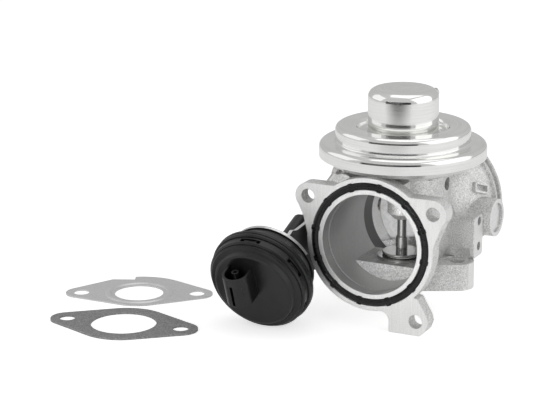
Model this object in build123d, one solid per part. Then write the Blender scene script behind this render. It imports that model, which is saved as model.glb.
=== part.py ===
from build123d import *
import math
import os

# EGR valve with intake throttle flap, millimetres.
# The origin is the centre of the manifold bore on the front flange face. +Y runs
# into the body along the air path, +Z is up along the valve stem, +X is right.

# Front flange and manifold bore
bore_r = 28.6
flange_r = 38.0
flange_t = 8.5
lug_hole_r = 4.0
mouth_depth = 8.0
bore_step = 0.4
left_lug = (-37.7, 23.5)
right_lug = (37.6, 22.0)
foot_lug = (28.1, -40.6)
left_lug_r = 7.7
right_lug_r = 8.0
foot_lug_r = 7.7
foot_width = 18.5
floor_z = -48.8

# Manifold seal in its face groove
seal_mean_r = 33.3
seal_cord_r = 2.0
seal_proud = 0.9
seal_side_gap = 0.1
seal_nub_count = 12
seal_nub_len = 2.2
seal_nub_gap = 0.02
seal_nub_turn = 10.0

# Chamber and throttle section
wall = 2.9
chamber_right_r = 25.5
blend_start = 8.0
blend_end = 26.0
step_start = 55.0
throttle_r = 26.5
throttle_start = 62.3
bell_start = 84.0
bell_mouth_r = 28.2

# Rear hose flange: a sector above the tube, struck from a centre over the bore
ring_r = 42.8
ring_start = 89.6
ring_end = 91.6
groove_r = ring_r - 3.2
groove_start = 88.1
shoulder_r = ring_r - 1.4
shoulder_start = 85.6
funnel_z = 5.5
funnel_low = -12.5
funnel_start = 57.0
funnel_front_r = 25.0
funnel_mid = (32.2, 66.0)

# Raised frame with a pocket on the funnel
frame_turn = 19.4
frame_radius = 36.4
frame_lean = 19.0
frame_y = 76.0
frame_roll = -26.0
frame_long = 11.0
frame_wide = 6.2
frame_border = 1.4

# Valve stem axis, neck and stem guide
stem_y = 45.1
neck_r = 27.5
neck_cavity_r = 20.0
neck_top = 38.0
head_r = 34.0
head_cone_low = 32.5
head_start = 36.5
vent_r = 3.7
vent_z = 27.2
guide_r = 8.3
guide_bottom = 4.0
guide_taper = 3.4
guide_bore_r = 3.1
duct_front = 27.0
duct_top = -19.0

# EGR flange under the chamber
egr_bottom = -31.9
egr_top = -16.6
egr_hole_half = 34.0
egr_hole_r = 4.2
egr_end_r = 9.7
egr_centre_r = 24.5
port_r = 13.0
port_depth = 4.5
throat_r = 10.2

# Seat ring and poppet valve
seat_r = 14.3
seat_bottom = -25.0
seat_top = -17.4
seat_bore_r = 8.8
seat_land_r = 10.0
disc_r = 11.1
disc_top = -15.4
disc_edge = 1.0
seat_gap = 0.05
stem_r = 2.7
stem_thick_r = 3.35
stem_thick_top = -6.4
bush_bottom = 10.0
bush_top = neck_top - 3.0
bush_r = 4.5
running_gap = 0.04

# Side blocks, tapped M6
block_front = 50.0
block_rear = 63.6
block_low = -16.7
block_high = 7.2
block_end = 42.0
pad_end = 41.0
block_round = 2.5
block_root = 15.0
rib_low = -7.2
rib_high = -1.2
top_boss = (-19.5, 29.4)
top_boss_r = 7.0
top_boss_end = 32.0
top_rib_x = (6.5, 15.5)
top_rib_end = 20.0
top_rib_z = (24.0, 33.4)
tap_upper = (58.0, 3.9)
tap_lower = (57.5, -10.7)
tap_r = 2.5
tap_depth = 14.0
bolt_thread_r = 3.0

# Throttle shaft and flap
shaft_y = 75.0
shaft_z = 2.0
shaft_r = 3.0
shaft_boss_r = 10.9
right_boss_end = 46.0
left_boss_end = 46.0
shaft_right_end = 39.0
shaft_bush_r = 5.0
shaft_bush_in = 28.0
shaft_bush_out = 40.0
shaft_seal_t = 2.8
plug_r = 8.5
plug_recess = 3.2
plug_t = 1.9
flap_r = throttle_r - 0.3
flap_t = 1.5
flap_slot_gap = 0.02
flap_open = 70.0
flap_screw_x = 9.0
flap_screw_r = 1.25
flap_screw_head_r = 2.4
flap_screw_head_t = 1.3

# Throttle lever and its pin
washer_t = 1.5
lever_t = 2.4
lever_gap = 0.1
lever_hub_r = 6.8
lever_arm = 13.8
lever_eye_r = 4.6
pin_r = 2.5
clip_r = 4.0
clip_t = 0.8
nut_t = 2.4
nut_flat = 10.0

# Vacuum can for the poppet valve
can_r = 47.4
can_rim_low = 41.2
can_rim_top = 49.4
can_step_r = can_r - 9.1
can_step_top = 58.8
can_recess_r = 25.5
can_recess_floor = 54.6
can_cap_r = 20.0
can_cap_top = 79.5
can_sheet = 1.0
can_cap_round = 5.0
can_step_round = 3.0
can_rim_round = 3.2
can_fold_round = 1.2
lower_shell_hole_r = 9.0
lower_shell_flat_r = can_r - 6.4
lower_shell_rise = 4.2
lower_shell_rim_r = can_r - 3.4
plate_r = 21.5
plate_t = 1.0
plate_low = 44.8
diaphragm_t = 1.0
can_spring_r = 12.0
can_spring_wire = 0.9
can_spring_turns = 6.0
can_screw_circle = 27.0
can_screw_r = 2.0
can_screw_head_r = 3.6
can_screw_head_t = 1.8
can_screw_len = 6.0
nipple_z = 72.0
nipple_turn = 15.0
nipple_reach = 30.0
nipple_r = 2.5
nipple_bore_r = 1.3
nipple_chamfer = 0.4
nipple_stub_r = 2.2
nipple_collar_r = 3.6
nipple_collar_t = 2.4

# Vacuum capsule for the flap. Its axis rises towards the rear.
cap_x = -55.2
cap_front_y = -29.8
cap_pitch = 20.5
skirt_r = 26.9
cover_face_r = skirt_r - 3.0
cover_height = 4.0
cover_rim_r = skirt_r + 0.7
cover_wall = 2.2
skirt_in_r = skirt_r - 2.3
skirt_end = 5.8
clamp_r = skirt_r + 2.0
clamp_start = 0.9
clamp_end = 6.3
window_count = 6
window_arc = 24.0
window_front = 2.4
window_rear = 5.0
housing_rim_r = skirt_r + 3.27
housing_rim_end = 11.3
drum_front_r = housing_rim_r - 2.2
drum_rear_r = drum_front_r - 3.8
drum_end = 20.5
housing_wall = 2.0
neck_tube_r = 5.6
neck_tube_in_r = 3.7
neck_tube_end = 62.0
rod_bush_len = 7.0
rod_r = 2.5
shroud_x = -4.4
shroud_r = 7.6
shroud_depth = 6.7
shroud_wall = 1.4
shroud_low = -2.0
shroud_high = 16.4
shroud_floor = 1.6
slot_width = 1.7
slot_low = -1.0
slot_high = 12.0
hose_nipple_r = 2.1
hose_nipple_bore_r = 1.1
hose_nipple_back = 5.0
piston_r = 16.0
piston_cup_r = 12.5
piston_wall = 1.3
piston_rest = 14.4
piston_cup_depth = 3.8
cap_spring_r = 9.8
cap_spring_wire = 0.7
cap_spring_turns = 3.5
rod_end_t = 3.0
rod_end_half = 6.5
slot_gap = 0.3

# Bracket that carries the capsule
sheet = 2.0
bracket_disc_r = drum_rear_r + 1.2
bracket_hole_r = 8.0
cap_screw_circle = drum_rear_r - 4.9
cap_boss_front = 15.0
cap_screw_r = 1.5
cap_screw_head_r = 2.8
cap_screw_boss_r = 2.6
bolt_head_t = 3.2
bolt_head_r = 5.0
bolt_len = 12.0
arm_top = ((-12.0, 6.2), (-7.0, 5.0), (3.0, 5.8), (38.0, 11.0))
arm_low = ((34.0, -15.8), (17.7, -24.3), (4.0, -24.6))
arm_end_high = 10.0
arm_end_low = -15.8

# Loose gaskets, lying on the floor beside the valve
fibre_t = 1.2
fibre_hole_r = 4.7
fibre_bore_r = 18.5
fibre_end_r = 9.6
fibre_centre_r = 26.5
fibre_holes = ((-159.7, -59.9), (-93.0, -48.1))
steel_t = 0.8
steel_hole_r = 4.6
steel_bore_r = 14.2
steel_end_r = 9.2
steel_centre_r = 23.0
steel_rear_r = 31.0
steel_rear_flat = 31.6
steel_left_flat = 25.2
steel_notch_x = -5.0
steel_bead_r = 18.0
steel_bead_rise = 0.7
steel_holes = ((-177.2, -15.7), (-115.5, 12.1))

# Worked out from the sizes above
chamber_out_r = bore_r + wall
right_out_r = chamber_right_r + wall
shell_seat = neck_top
throttle_out_r = throttle_r + wall
chamber_in_r = bore_r - bore_step
lever_face = left_boss_end + washer_t + 2 * lever_gap
pitch = math.radians(cap_pitch)
cos_p = math.cos(pitch)
sin_p = math.sin(pitch)
past_x = left_boss_end + 14.0
cap_front_z = floor_z + housing_rim_r * cos_p - (clamp_end + 1.0) * sin_p
half_open = math.radians(flap_open / 2)
shaft_along = (shaft_y - cap_front_y) * cos_p + (shaft_z - cap_front_z) * sin_p
rod_above = (shaft_y - cap_front_y) * sin_p - (shaft_z - cap_front_z) * cos_p
pin_rest_along = shaft_along + lever_arm * math.sin(half_open)
pin_rest_above = lever_arm * math.cos(half_open)

stem_place = Location((0, stem_y, 0))
cap_plane = Plane(origin=(cap_x, cap_front_y, cap_front_z), x_dir=(1, 0, 0), z_dir=(0, -cos_p, -sin_p))
cap_place = cap_plane.location


def save(node, shape):
    """Write one sub-part under its node name."""
    export_step(shape, "parts/" + node + ".step")


def turned(points, axis_place=Location((0, 0, 0))):
    """Solid of revolution about Z from a closed outline of (radius, height) points."""
    outline = Polyline(*[(r, 0, z) for r, z in points], close=True)
    return axis_place * revolve(make_face(outline), Axis.Z)


def rod_x(radius, x_from, x_to, y, z):
    """Round bar along X between two stations."""
    return Pos((x_from + x_to) / 2, y, z) * Rot(0, 90, 0) * Cylinder(radius, abs(x_to - x_from))


def rod_y(radius, y_from, y_to, x=0.0, z=0.0):
    """Round bar along Y between two stations."""
    return Pos(x, (y_from + y_to) / 2, z) * Rot(90, 0, 0) * Cylinder(radius, y_to - y_from)


def rod_z(radius, z_from, z_to, x=0.0, y=0.0):
    """Round bar along Z between two stations."""
    return Pos(x, y, (z_from + z_to) / 2) * Cylinder(radius, z_to - z_from)


def block(x_from, x_to, y_from, y_to, z_from, z_to):
    """Box between two corners."""
    centre = Pos((x_from + x_to) / 2, (y_from + y_to) / 2, (z_from + z_to) / 2)
    return centre * Box(abs(x_to - x_from), y_to - y_from, z_to - z_from)


def front_plate(sketch, thickness):
    """Plate drawn as X and Z, from the flange face inwards."""
    return extrude(Plane.XZ * sketch, amount=thickness, dir=(0, 1, 0))


def coil(mean_r, wire_r, length, turns):
    """Compression spring standing on Z = 0, its wire inside the given length."""
    rise = length - 2 * wire_r
    path = Helix(pitch=rise / turns, height=rise, radius=mean_r)
    section = Plane(origin=path @ 0, z_dir=path % 0) * Circle(wire_r)
    return Pos(0, 0, wire_r) * sweep(section, path)


def hull_plate(discs, z_from, z_to):
    """Plate whose outline wraps round a few discs given as (x, y, radius)."""
    rounds = Sketch() + [Pos(x, y) * Circle(r) for x, y, r in discs]
    outline = make_hull(rounds.edges())
    return Pos(0, 0, z_from) * extrude(outline, amount=z_to - z_from, dir=(0, 0, 1))


def flange_outline():
    """Manifold flange: a ring with two upper ears and a lower foot."""
    lx, lz = left_lug
    rx, rz = right_lug
    fx, fz = foot_lug
    left_ear = Polygon(
        (lx - 6.0, lz - 4.8), (lx - 2.7, lz - 11.5), (-flange_r, 2.0), (-20.0, 0.0),
        (-20.0, lz + left_lug_r), (lx, lz + left_lug_r), align=None,
    )
    right_ear = Polygon(
        (rx, rz + right_lug_r), (20.0, rz + right_lug_r), (20.0, 0.0), (flange_r, 3.0),
        (rx + 2.0, rz - 14.4), (rx + 5.7, rz - 5.6), align=None,
    )
    foot_left = fx + 2.4 - foot_width
    foot = Polygon(
        (foot_left, floor_z), (fx + 2.4, floor_z), (fx + 6.1, fz - 4.6), (fx + foot_lug_r, fz),
        (fx + 6.8, fz + 3.4), (29.2, -27.3), (15.0, -25.0), (foot_left, -30.0), align=None,
    )
    plan = Circle(flange_r) + left_ear + right_ear + foot
    plan += Pos(lx, lz) * Circle(left_lug_r)
    plan += Pos(rx, rz) * Circle(right_lug_r)
    inner_corner = (foot_left, -math.sqrt(flange_r ** 2 - foot_left ** 2), 0)
    plan = fillet(plan.vertices().sort_by_distance(inner_corner)[0], 5.0)
    corner = (foot_left, floor_z, 0)
    plan = fillet(plan.vertices().sort_by_distance(corner)[0], 1.0)
    for hole in (left_lug, right_lug, foot_lug):
        plan -= Pos(*hole) * Circle(lug_hole_r)
    return plan


def chamber(left_r, right_r, y_from, y_to):
    """Mixing chamber: round at the flange, its right wall drawing in behind it."""
    start = Plane.XZ.offset(-blend_start)
    end = Plane.XZ.offset(-blend_end)
    mouth = rod_y(left_r, y_from, blend_start)
    throat = loft([start * Circle(left_r), end * Ellipse(right_r, left_r)])
    run = extrude(end * Ellipse(right_r, left_r), amount=-(y_to - blend_end))
    reach = left_r + 5
    left_side = rod_y(left_r, blend_start, y_to)
    left_side &= block(-reach, 0, blend_start, y_to, -reach, reach)
    return mouth + throat + run + left_side


def side_block(end_x):
    """Square boss on the side of the body, drilled for two M6 screws."""
    boss = block(block_root, end_x, block_front, block_rear, block_low, block_high)
    boss = fillet(boss.edges().filter_by(Axis.X), block_round)
    rim = boss.faces().sort_by(Axis.X)[-1].edges()
    return chamfer(rim, 0.4)


def funnel():
    """Upper sector that swells from the throttle tube to the hose flange."""
    arc = ThreePointArc(
        (funnel_front_r, funnel_start, 0), (funnel_mid[0], funnel_mid[1], 0),
        (groove_r, shoulder_start, 0)
    )
    rest = Polyline(
        (groove_r, shoulder_start, 0), (shoulder_r, shoulder_start, 0), (shoulder_r, groove_start, 0),
        (groove_r, groove_start, 0), (groove_r, ring_start, 0), (ring_r, ring_start, 0),
        (ring_r, ring_end, 0), (0, ring_end, 0), (0, funnel_start, 0), (funnel_front_r, funnel_start, 0),
    )
    round_shape = Pos(0, 0, funnel_z) * revolve(make_face(arc + rest), Axis.Y)
    return round_shape & block(-ring_r - 1, ring_r + 1, funnel_start - 1, ring_end + 1, funnel_low,
                               funnel_z + ring_r + 1)


def outer_body():
    """Outside of the casting before its bores are cut."""
    shape = front_plate(flange_outline(), flange_t)
    shape += chamber(chamber_out_r, right_out_r, 1.0, throttle_start + 2)
    shape += rod_y(throttle_out_r, step_start, ring_end)
    shape += funnel()
    shape += rod_z(neck_r, 0, neck_top, 0, stem_y)
    head = [
        (0, head_cone_low), (neck_r, head_cone_low), (head_r, head_start),
        (head_r, neck_top), (0, neck_top),
    ]
    shape += turned(head, stem_place)
    shape += side_block(block_end)
    shape += mirror(side_block(pad_end), Plane.YZ)
    ends = [(-egr_hole_half, stem_y, egr_end_r), (egr_hole_half, stem_y, egr_end_r)]
    shape += hull_plate(ends + [(0, stem_y, egr_centre_r)], egr_bottom, egr_top)
    shape += rod_x(shaft_boss_r, 18, right_boss_end, shaft_y, shaft_z)
    shape += rod_x(shaft_boss_r, -left_boss_end, -18, shaft_y, shaft_z)
    shape += block(right_out_r, block_end - 0.5, block_rear - 2, shaft_y - 8.0, rib_low, rib_high)
    shape += rod_y(top_boss_r, flange_t - 1, top_boss_end, *top_boss)
    shape += block(*top_rib_x, flange_t - 1, top_rib_end, *top_rib_z)
    return shape


def pocket_frame():
    """Raised frame with a rectangular pocket on the upper right of the funnel."""
    turn = math.radians(frame_turn)
    lean = math.radians(frame_lean)
    normal = (math.cos(turn) * math.cos(lean), -math.sin(lean), math.sin(turn) * math.cos(lean))
    along = (math.cos(turn) * math.sin(lean), math.cos(lean), math.sin(turn) * math.sin(lean))
    origin = (frame_radius * math.cos(turn), frame_y, funnel_z + frame_radius * math.sin(turn))
    place = Plane(origin=origin, x_dir=along, z_dir=normal).location * Rot(0, 0, frame_roll)
    depth = 5.0
    frame = place * Box(frame_long, frame_wide, depth)
    frame = fillet(frame.edges().filter_by(lambda e: abs(e.length - depth) < 0.01), 1.2)
    pocket = Box(frame_long - 2 * frame_border, frame_wide - 2 * frame_border, 4.0)
    pocket = place * Pos(0, 0, 1.5) * pocket
    return frame, pocket


def throttle_step():
    """Short taper from the chamber's section to the round throttle bore."""
    start = Plane.XZ.offset(-step_start)
    end = Plane.XZ.offset(-throttle_start)
    reach = bore_r + 5
    right = loft([start * Ellipse(chamber_right_r, chamber_in_r), end * Circle(throttle_r)])
    left = loft([start * Circle(chamber_in_r), end * Circle(throttle_r)])
    right &= block(0, reach, step_start, throttle_start, -reach, reach)
    left &= block(-reach, 0, step_start, throttle_start, -reach, reach)
    return right + left


def make_body():
    """Cast aluminium body."""
    shape = outer_body()
    frame, pocket = pocket_frame()
    shape += frame
    cavity = rod_z(neck_cavity_r, 0, neck_top + 1, 0, stem_y)
    cavity -= chamber(chamber_out_r, right_out_r, 1.0, 90.0)
    cavity -= rod_z(guide_r, 0, neck_top + 1, 0, stem_y)
    shape -= cavity
    shape -= rod_y(bore_r, -1.0, mouth_depth)
    shape -= chamber(chamber_in_r, chamber_right_r, mouth_depth - 1, step_start)
    shape -= throttle_step()
    mid_r = throttle_r + 0.3 * (bell_mouth_r - throttle_r)
    mid_y = bell_start + 0.55 * (ring_end - bell_start)
    bell_arc = ThreePointArc((throttle_r, bell_start, 0), (mid_r, mid_y, 0), (bell_mouth_r, ring_end, 0))
    bell = bell_arc + Polyline((bell_mouth_r, ring_end, 0), (bell_mouth_r, ring_end + 1, 0),
                               (0, ring_end + 1, 0),
                               (0, throttle_start - 1, 0), (throttle_r, throttle_start - 1, 0),
                               (throttle_r, bell_start, 0))
    shape -= revolve(make_face(bell), Axis.Y)
    shape -= block(-ring_r, ring_r, -1, ring_end + 1, neck_top, neck_top + 20)

    duct = block(-bore_r, bore_r, duct_front, step_start + 0.5, egr_bottom, duct_top)
    shape += duct & chamber(chamber_in_r + 0.5, chamber_right_r + 0.5, 1.0, step_start + 0.5)
    guide = turned([(0, guide_bottom), (guide_r - guide_taper, guide_bottom),
                    (guide_r, guide_bottom + guide_taper),
                    (guide_r, neck_top), (0, neck_top)], stem_place)
    swing = Pos(0, shaft_y, shaft_z) * Sphere(flap_r + 0.6)
    shape += guide - swing

    shape -= rod_z(guide_bore_r, guide_bottom - 1, bush_bottom + 1, 0, stem_y)
    shape -= rod_z(bush_r, bush_bottom, neck_top + 1, 0, stem_y)
    shape -= rod_z(throat_r, egr_bottom + port_depth - 1, seat_bottom, 0, stem_y)
    shape -= turned([(0, egr_bottom - 1), (port_r, egr_bottom - 1), (port_r, egr_bottom + 1.5),
                     (throat_r, egr_bottom + port_depth), (0, egr_bottom + port_depth)], stem_place)
    shape -= rod_z(seat_r, seat_bottom, duct_top + 1, 0, stem_y)
    for side in (-1, 1):
        shape -= rod_z(egr_hole_r, egr_bottom - 1, egr_top + 4, side * egr_hole_half, stem_y)
        shape -= rod_z(egr_hole_r + 3.2, egr_top - 0.4, egr_top + 6, side * egr_hole_half, stem_y)
    groove_in = seal_mean_r - seal_cord_r - seal_side_gap
    groove_out = seal_mean_r + seal_cord_r + seal_side_gap
    groove_depth = 2 * seal_cord_r - seal_proud + seal_side_gap
    shape -= rod_y(groove_out, -1.0, groove_depth) - rod_y(groove_in, -2.0, groove_depth + 1)
    shape -= rod_x(vent_r, 15.0, neck_r + 4, stem_y, vent_z)
    for y, z in (tap_upper, tap_lower):
        shape -= rod_x(tap_r, block_end - tap_depth, block_end + 1, y, z)
        shape -= rod_x(bolt_thread_r, -pad_end - 1, -pad_end + bolt_len, y, z)
    shape -= rod_x(shaft_bush_r, -left_boss_end - 1, shaft_bush_out + 0.5, shaft_y, shaft_z)
    shape -= rod_x(plug_r, right_boss_end - plug_recess, right_boss_end + 1, shaft_y, shaft_z)
    for n in range(3):
        turn = math.radians(90 + 120 * n)
        x = can_screw_circle * math.cos(turn)
        y = stem_y + can_screw_circle * math.sin(turn)
        shape -= rod_z(can_screw_r, neck_top - can_screw_len, neck_top + 1, x, y)
    shape -= pocket
    return shape


def make_manifold_seal():
    """Rubber ring with small retaining nubs in the face groove."""
    centre_y = seal_cord_r - seal_proud
    cord = Pos(seal_mean_r, centre_y) * Circle(seal_cord_r)
    ring = revolve(cord, Axis.Y)
    nub = Cylinder(seal_cord_r + seal_side_gap - seal_nub_gap, seal_nub_len)
    nub = Pos(seal_mean_r, centre_y, 0) * nub
    nubs = [Rot(0, 360.0 / seal_nub_count * n + seal_nub_turn, 0) * nub for n in range(seal_nub_count)]
    return ring + nubs


def make_seat_ring():
    """Steel seat pressed into the duct boss."""
    return turned([(seat_bore_r, seat_bottom), (seat_r, seat_bottom), (seat_r, seat_top - 0.5),
                   (seat_r - 0.5, seat_top), (seat_land_r, seat_top),
                   (seat_bore_r, seat_top - 1.2)], stem_place)


def make_poppet():
    """Valve disc, stepped stem and the shoulder that carries the diaphragm plates."""
    low = seat_top + seat_gap
    top = plate_low + 2 * plate_t + diaphragm_t + 4.0
    return turned([(0, low - 1.0), (seat_bore_r - 1.4, low - 1.0), (seat_land_r - 0.2, low),
                   (disc_r, disc_top - disc_edge),
                   (disc_r, disc_top - 0.3), (disc_r - 0.3, disc_top), (stem_thick_r, disc_top),
                   (stem_thick_r, stem_thick_top - 0.6), (stem_r, stem_thick_top), (stem_r, plate_low),
                   (stem_r - 0.7, plate_low), (stem_r - 0.7, top), (0, top)], stem_place)


def make_stem_bush():
    """Bronze guide bush for the stem."""
    return turned([(stem_r + running_gap, bush_bottom), (bush_r, bush_bottom), (bush_r, bush_top),
                   (stem_r + running_gap, bush_top)], stem_place)


def make_stem_seal():
    """Seal cup on top of the guide bush."""
    return turned([(stem_r + running_gap, bush_top), (bush_r, bush_top), (bush_r, neck_top - 0.2),
                   (stem_r + 0.8, neck_top - 0.2), (stem_r + running_gap, neck_top - 0.9)], stem_place)


def can_face(inset):
    """Solid bounded by the upper can, drawn inwards by the sheet thickness."""
    outline = [
        (0, can_cap_top - inset, 0),
        (can_cap_r - inset, can_cap_top - inset, can_cap_round - inset),
        (can_cap_r - inset, can_recess_floor - inset, can_fold_round + inset),
        (can_recess_r + inset, can_recess_floor - inset, can_fold_round),
        (can_recess_r + inset, can_step_top - inset, can_step_round - inset),
        (can_step_r - inset, can_step_top - inset, can_step_round - inset),
        (can_step_r - inset, can_rim_top - inset, can_fold_round),
        (can_r - inset, can_rim_top - inset, can_rim_round - inset),
        (can_r - inset, can_rim_low - inset, 0),
        (0, can_rim_low - inset, 0),
    ]
    line = FilletPolyline(*[(r, 0, z) for r, z, _ in outline], radius=[c for _, _, c in outline],
                          close=True)
    return revolve(make_face(line), Axis.Z)


def make_can_upper():
    """Pressed steel upper half of the vacuum can, rim rolled under the lower half."""
    shell = can_face(0.0) - can_face(can_sheet)
    under = [(can_r - 3.2, can_rim_low), (can_r - 0.9, can_rim_low),
             (can_r - 0.9, can_rim_low + can_sheet),
             (can_r - 3.2, can_rim_low + can_sheet)]
    shell += turned(under)
    shell -= Rot(0, 0, -nipple_turn) * rod_y(nipple_stub_r, can_cap_r / 2, can_cap_r + 5, 0, nipple_z)
    return stem_place * shell


def make_can_lower():
    """Pressed steel lower half, seated on the neck."""
    rim_low = shell_seat + lower_shell_rise
    points = [
        (lower_shell_hole_r, shell_seat), (lower_shell_flat_r + 1, shell_seat),
        (lower_shell_rim_r, rim_low),
        (can_r - 1.05, rim_low), (can_r - 1.05, rim_low + can_sheet),
        (lower_shell_rim_r - 0.3, rim_low + can_sheet),
        (lower_shell_flat_r + 0.7, shell_seat + can_sheet), (lower_shell_hole_r, shell_seat + can_sheet),
    ]
    shape = turned(points, stem_place)
    for n in range(3):
        turn = math.radians(90 + 120 * n)
        x = can_screw_circle * math.cos(turn)
        y = stem_y + can_screw_circle * math.sin(turn)
        shape -= rod_z(can_screw_r + 0.1, shell_seat - 1, shell_seat + 3, x, y)
    return shape


def make_can_screws():
    """Screws inside the can that hold its lower half to the neck."""
    screws = []
    for n in range(3):
        turn = math.radians(90 + 120 * n)
        x = can_screw_circle * math.cos(turn)
        y = stem_y + can_screw_circle * math.sin(turn)
        seat = shell_seat + can_sheet
        screw = rod_z(can_screw_r - 0.02, neck_top - can_screw_len + 0.5, seat + 0.5, x, y)
        screw += rod_z(can_screw_head_r, seat, seat + can_screw_head_t, x, y)
        screws.append(screw)
    return Compound(screws)


def make_diaphragm():
    """Rubber diaphragm: clamped bead, one fold and the disc between the plates."""
    bead_low = shell_seat + lower_shell_rise + can_sheet
    bead_top = can_rim_top - can_sheet
    mid = plate_low + plate_t
    return turned([
        (stem_r, mid), (plate_r, mid), (plate_r + 4.0, mid - 1.2), (can_step_r - 5.0, mid - 1.2),
        (can_step_r + 2.0, mid), (can_step_r + 5.0, bead_low), (can_r - 1.1, bead_low),
        (can_r - 1.1, bead_top - 2.2), (can_r - 3.2, bead_top), (can_step_r + 4.0, bead_top),
        (can_step_r + 1.5, mid + diaphragm_t), (can_step_r - 5.0, mid - 1.2 + diaphragm_t),
        (plate_r + 4.2, mid - 1.2 + diaphragm_t), (plate_r, mid + diaphragm_t),
        (stem_r, mid + diaphragm_t),
    ], stem_place)


def make_plates():
    """Two steel plates that grip the diaphragm."""
    hole = stem_r - 0.65
    lower = turned([(hole, plate_low), (plate_r - 1, plate_low), (plate_r, plate_low + plate_t),
                    (hole, plate_low + plate_t)], stem_place)
    base = plate_low + plate_t + diaphragm_t
    upper = turned([(hole, base), (plate_r, base), (plate_r, base + plate_t),
                    (can_spring_r + 2.6, base + plate_t), (can_spring_r + 2.6, base + plate_t + 1.2),
                    (can_spring_r + 1.6, base + plate_t + 1.2), (can_spring_r + 1.6, base + plate_t),
                    (hole, base + plate_t)], stem_place)
    return Compound([lower, upper])


def make_stem_nut():
    """Nut that clamps the plates on the stem."""
    base = plate_low + 2 * plate_t + diaphragm_t
    nut = extrude(RegularPolygon(4.0, 6), amount=3.2) - Cylinder(stem_r - 0.68, 20)
    return Location((0, stem_y, base)) * nut


def make_can_spring():
    """Return spring between the upper plate and the cap."""
    base = plate_low + 2 * plate_t + diaphragm_t + 0.02
    length = can_cap_top - can_sheet - base - 0.02
    return Location((0, stem_y, base)) * coil(can_spring_r, can_spring_wire, length, can_spring_turns)


def make_can_nipple():
    """Vacuum pipe brazed into the back of the cap."""
    collar = can_cap_r + 0.05
    tube = rod_y(nipple_r, collar, nipple_reach, 0, nipple_z)
    tube = chamfer(tube.faces().sort_by(Axis.Y)[-1].edges(), nipple_chamfer)
    tube += rod_y(nipple_stub_r, can_cap_r - 2.2, collar + 1, 0, nipple_z)
    tube += rod_y(nipple_collar_r, collar, can_cap_r + nipple_collar_t, 0, nipple_z)
    tube -= rod_y(nipple_bore_r, can_cap_r - 4, nipple_reach + 3, 0, nipple_z)
    return stem_place * Rot(0, 0, -nipple_turn) * tube


def make_shaft():
    """Throttle shaft, cut to half its section where the flap lies on it."""
    end = -(lever_face + lever_t + nut_t + 0.4)
    shape = rod_x(shaft_r, end, shaft_right_end, shaft_y, shaft_z)
    slot_half = flap_r + 0.15
    flat = shaft_y + flap_slot_gap
    shape -= block(-slot_half, slot_half, shaft_y - 5, flat, shaft_z - 5, shaft_z + 5)
    for side in (-1, 1):
        shape -= rod_y(flap_screw_r, shaft_y - 6, shaft_y + 6, side * flap_screw_x, shaft_z)
    return shape


def make_flap():
    """Throttle flap on the front flat of its shaft."""
    disc = rod_y(flap_r, shaft_y - flap_t, shaft_y)
    for side in (-1, 1):
        disc -= rod_y(flap_screw_r, shaft_y - 6, shaft_y + 6, side * flap_screw_x, shaft_z)
    return disc


def make_flap_screws():
    """Two screws through the shaft and the flap."""
    screws = []
    for side in (-1, 1):
        x = side * flap_screw_x
        face = shaft_y - flap_t
        screw = rod_y(flap_screw_head_r, face - flap_screw_head_t, face, x, shaft_z)
        screw += rod_y(flap_screw_r - 0.01, face - 0.5, shaft_y + shaft_r - 0.2, x, shaft_z)
        screw -= block(x - 2.0, x + 2.0, face - 2, face - 0.8, shaft_z - 0.3, shaft_z + 0.3)
        screws.append(screw)
    return Compound(screws)


def make_shaft_bushes():
    """Plain bushes at both ends of the shaft."""
    inner = shaft_r + running_gap
    left_end = left_boss_end - shaft_seal_t
    left = rod_x(shaft_bush_r, -left_end, -shaft_bush_in, shaft_y, shaft_z)
    right = rod_x(shaft_bush_r, shaft_bush_in, shaft_bush_out, shaft_y, shaft_z)
    cut = rod_x(inner, -past_x, past_x, shaft_y, shaft_z)
    return Compound([left - cut, right - cut])


def make_shaft_seal():
    """Lip seal at the lever end of the shaft."""
    ring = rod_x(shaft_bush_r, -left_boss_end, -(left_boss_end - shaft_seal_t), shaft_y, shaft_z)
    return ring - rod_x(shaft_r + running_gap, -past_x, 0, shaft_y, shaft_z)


def make_shaft_plug():
    """Disc plug pressed into the right boss."""
    base = right_boss_end - plug_recess
    plug = rod_x(plug_r, base, base + plug_t, shaft_y, shaft_z)
    return chamfer(plug.faces().sort_by(Axis.X)[-1].edges(), 0.5)


def make_lever_washer():
    """Washer between the left boss and the lever."""
    start = left_boss_end + lever_gap
    ring = rod_x(lever_hub_r - 1.0, -(start + washer_t), -start, shaft_y, shaft_z)
    return ring - rod_x(shaft_r + running_gap, -past_x, 0, shaft_y, shaft_z)


def side_sketch(discs, x_near, thickness):
    """Plate standing in Y and Z, wrapped round discs given as (y, z, radius)."""
    rounds = Sketch() + [Pos(y, z) * Circle(r) for y, z, r in discs]
    outline = make_hull(rounds.edges())
    place = Plane(origin=(x_near, 0, 0), x_dir=(0, 1, 0), z_dir=(1, 0, 0))
    return extrude(place * outline, amount=thickness, dir=(1, 0, 0))


def pin_point():
    """Centre of the lever pin at rest, as (y, z)."""
    y = shaft_y + (pin_rest_along - shaft_along) * cos_p - pin_rest_above * sin_p
    z = shaft_z + (pin_rest_along - shaft_along) * sin_p + pin_rest_above * cos_p
    return y, z


def make_lever():
    """Lever plate with its drive pin and retaining clip."""
    y, z = pin_point()
    outer = -(lever_face + lever_t)
    plate = side_sketch([(shaft_y, shaft_z, lever_hub_r), (y, z, lever_eye_r)], outer, lever_t)
    plate -= rod_x(shaft_r, -past_x, 0, shaft_y, shaft_z)
    tip = cap_x - rod_end_t / 2 - 2.0
    plate += rod_x(pin_r, tip, outer + 1, y, z)
    plate += rod_x(clip_r, tip + 0.4, tip + 0.4 + clip_t, y, z)
    return plate


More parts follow.
